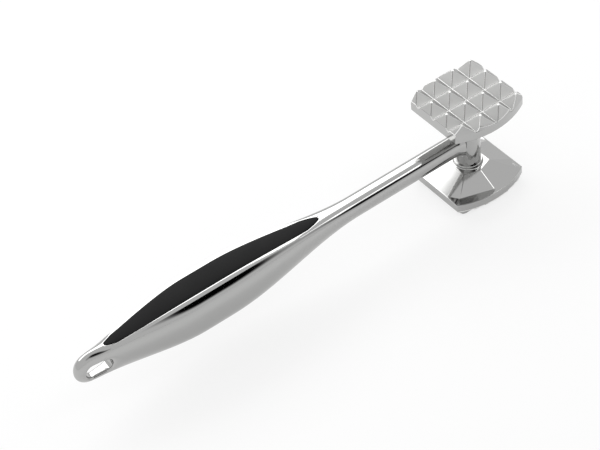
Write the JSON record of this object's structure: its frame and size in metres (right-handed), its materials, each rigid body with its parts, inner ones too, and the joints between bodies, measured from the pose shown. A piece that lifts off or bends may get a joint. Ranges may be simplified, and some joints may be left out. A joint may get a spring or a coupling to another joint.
{
  "type": "meat mallet",
  "caption": "Two-sided meat mallet: cast handle with a soft black inlay and hanging hole, coarse and fine pyramid-toothed plates on a short cross post.",
  "frame": {"origin": "middle of the bounding box at its lowest face, the plane of the fine teeth's tips", "axes": "+X along the handle from the tail to the head, +Z from the fine plate to the coarse plate, +Y across the handle"},
  "size_m": [0.2384, 0.0424, 0.0561],
  "materials": {
    "handle_casting": "bright chrome plate on a polished casting",
    "grip_inlay": "matte soft-touch moulding",
    "coarse_plate": "satin chrome plate on a casting",
    "fine_plate": "satin chrome plate on a casting",
    "head_stud": "plain steel"
  },
  "bodies": {
    "root": {"handle_casting": "handle_casting", "grip_inlay": "grip_inlay", "coarse_plate": "coarse_plate", "fine_plate": "fine_plate", "head_stud": "head_stud"}
  },
  "joints": []
}
